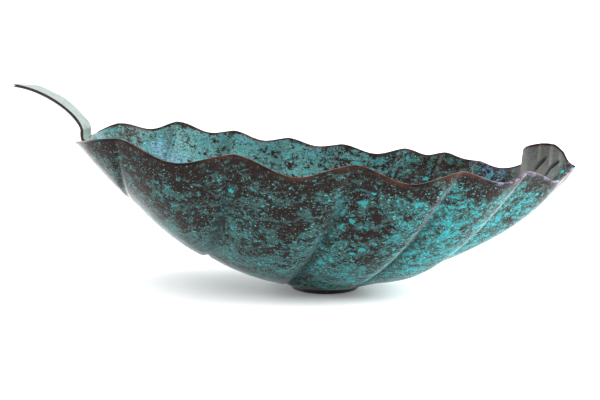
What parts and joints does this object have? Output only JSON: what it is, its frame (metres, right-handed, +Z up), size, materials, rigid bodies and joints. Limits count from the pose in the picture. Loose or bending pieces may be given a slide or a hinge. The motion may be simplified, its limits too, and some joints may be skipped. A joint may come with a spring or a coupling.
{
  "type": "leaf bowl",
  "caption": "Leaf-shaped copper bowl with wavy lobed rim, raised curled tip, arching strip stem and small foot ring, in green and brown patina.",
  "frame": {"origin": "middle of the foot ring's underside, on the table", "axes": "+X from the stem towards the leaf tip, +Z up out of the bowl, the front wall on the -Y side"},
  "size_m": [0.4042, 0.2054, 0.1502],
  "materials": {
    "patinated_leaf": "hammered copper with mottled verdigris and brown patina, waxed",
    "patinated_stem": "thin grey-green patina on copper, dark brown edges, satin",
    "dark_foot": "dark brown oxidised copper, satin",
    "braze": "oxidised brazing alloy, satin"
  },
  "bodies": {
    "root": {"leaf_shell": "patinated_leaf", "stem": "patinated_stem", "stem_braze": "braze", "foot_ring": "dark_foot", "foot_braze": "braze"}
  },
  "joints": []
}
